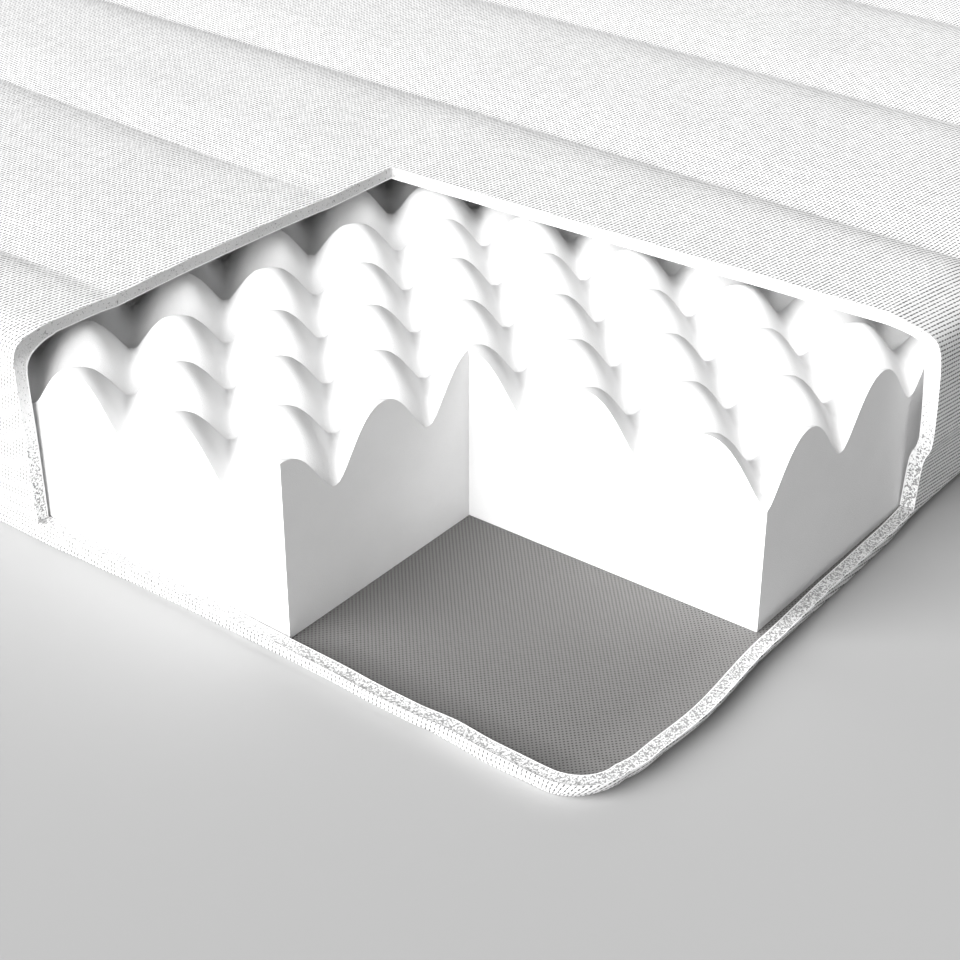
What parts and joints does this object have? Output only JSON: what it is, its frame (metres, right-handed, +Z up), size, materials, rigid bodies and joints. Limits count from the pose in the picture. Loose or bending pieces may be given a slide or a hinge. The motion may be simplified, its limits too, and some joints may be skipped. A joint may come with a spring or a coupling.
{
  "type": "foam mattress",
  "caption": "Rectangular foam mattress with a padded knit cover, opened at one corner to show its egg-crate foam core and the bottom panel of the cover.",
  "frame": {"origin": "centre of the whole mattress's bounding box, at the floor", "axes": "+X along the length away from the opened corner, +Y across the width away from it, +Z up"},
  "size_m": [2, 1.4, 0.15],
  "materials": {
    "cover_knit": "matt white padded knit with a fine staggered mesh of small holes; cut edges pale grey and fibrous",
    "base_knit": "grey knit with a fine staggered mesh, and a paler fibrous cut rim",
    "foam": "matt white open-cell foam with very fine cells"
  },
  "bodies": {
    "root": {"cover_top": "cover_knit", "cover_base": "base_knit", "foam_core": "foam"}
  },
  "joints": []
}
